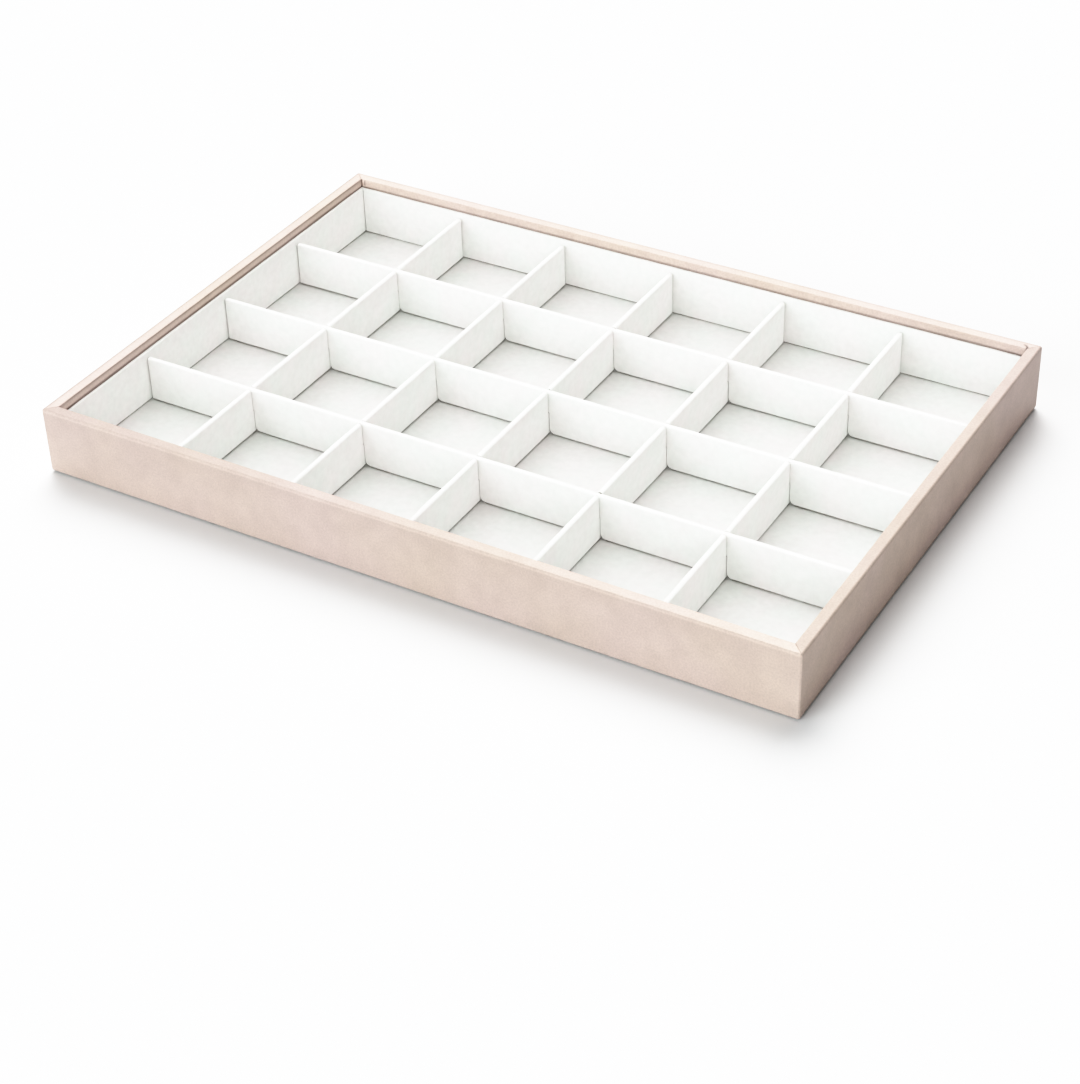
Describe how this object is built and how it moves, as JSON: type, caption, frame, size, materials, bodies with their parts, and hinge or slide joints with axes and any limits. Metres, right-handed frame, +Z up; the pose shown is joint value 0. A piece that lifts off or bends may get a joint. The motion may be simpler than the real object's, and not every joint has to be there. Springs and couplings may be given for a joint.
{
  "type": "jewelry display tray",
  "caption": "Shallow leatherette-wrapped tray with a white suede lining and a lift-out egg-crate grid of half-lapped dividers that makes equal square compartments.",
  "frame": {"origin": "middle of the underside, on the surface that the tray stands on", "axes": "+X along the length to the right, +Y to the back, +Z up out of the compartments"},
  "size_m": [0.35, 0.24, 0.0314],
  "materials": {
    "leatherette": "satin pearl",
    "suede": "matt, short nap",
    "card": "matt greyboard",
    "fibreboard": "matt",
    "backing": "matt non-woven",
    "brad_steel": "bright wire"
  },
  "bodies": {
    "tray": {"base_board": "fibreboard", "front_board": "fibreboard", "back_board": "fibreboard", "left_board": "fibreboard", "right_board": "fibreboard", "corner_brads": "brad_steel", "front_covering": "leatherette", "back_covering": "leatherette", "left_covering": "leatherette", "right_covering": "leatherette", "backing_sheet": "backing", "floor_card": "card", "floor_cover": "suede", "front_liner_card": "card", "back_liner_card": "card", "left_liner_card": "card", "right_liner_card": "card", "front_liner_cover": "suede", "back_liner_cover": "suede", "left_liner_cover": "suede", "right_liner_cover": "suede"},
    "short_grid": {"short_divider_1_card": "card", "short_divider_1_cover": "suede", "short_divider_2_card": "card", "short_divider_2_cover": "suede", "short_divider_3_card": "card", "short_divider_3_cover": "suede", "short_divider_4_card": "card", "short_divider_4_cover": "suede", "short_divider_5_card": "card", "short_divider_5_cover": "suede"},
    "long_divider_1": {"long_divider_1_card": "card", "long_divider_1_cover": "suede"},
    "long_divider_2": {"long_divider_2_card": "card", "long_divider_2_cover": "suede"},
    "long_divider_3": {"long_divider_3_card": "card", "long_divider_3_cover": "suede"}
  },
  "joints": [
    {"name": "grid_lift", "type": "slide", "parent": "tray", "child": "short_grid", "axis": [0, 0, 1], "range_m": [0, 0.035]},
    {"name": "long_divider_1_lift", "type": "slide", "parent": "short_grid", "child": "long_divider_1", "axis": [0, 0, 1], "range_m": [0, 0.035]},
    {"name": "long_divider_2_lift", "type": "slide", "parent": "short_grid", "child": "long_divider_2", "axis": [0, 0, 1], "range_m": [0, 0.035]},
    {"name": "long_divider_3_lift", "type": "slide", "parent": "short_grid", "child": "long_divider_3", "axis": [0, 0, 1], "range_m": [0, 0.035]}
  ]
}
